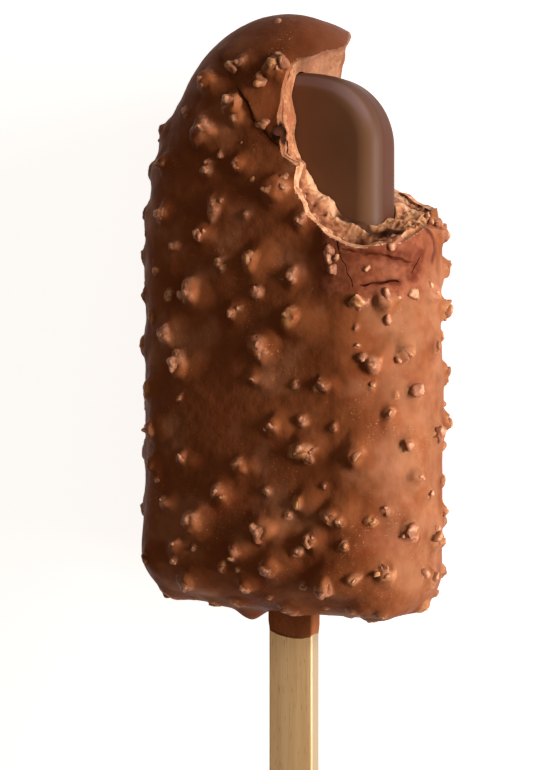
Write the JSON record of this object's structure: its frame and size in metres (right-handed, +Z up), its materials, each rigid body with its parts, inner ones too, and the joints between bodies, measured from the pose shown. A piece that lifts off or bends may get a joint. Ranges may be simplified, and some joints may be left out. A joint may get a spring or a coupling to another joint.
{
  "type": "ice cream bar",
  "caption": "Bitten ice cream bar on a wooden stick: nut-studded chocolate coating over a porous pale layer and a smooth dark inner bar, lying on its back.",
  "frame": {"origin": "centre of the flat spot on the bar's back that it rests on, under the middle of its length and width", "axes": "+X to the right across the bar as its front is seen, +Y along the bar towards its rounded top with the stick towards -Y, +Z up out of its front"},
  "size_m": [0.0505, 0.1358, 0.0296],
  "materials": {
    "coating": "satin milk chocolate over chopped nuts, stands in for chocolate",
    "ice_cream": "matt porous pale chocolate ice cream",
    "core": "smooth dark chocolate ice with a soft sheen",
    "stick": "plain beech with fine grain"
  },
  "bodies": {
    "root": {"coating": "coating", "ice_cream": "ice_cream", "core": "core", "stick": "stick"}
  },
  "joints": []
}
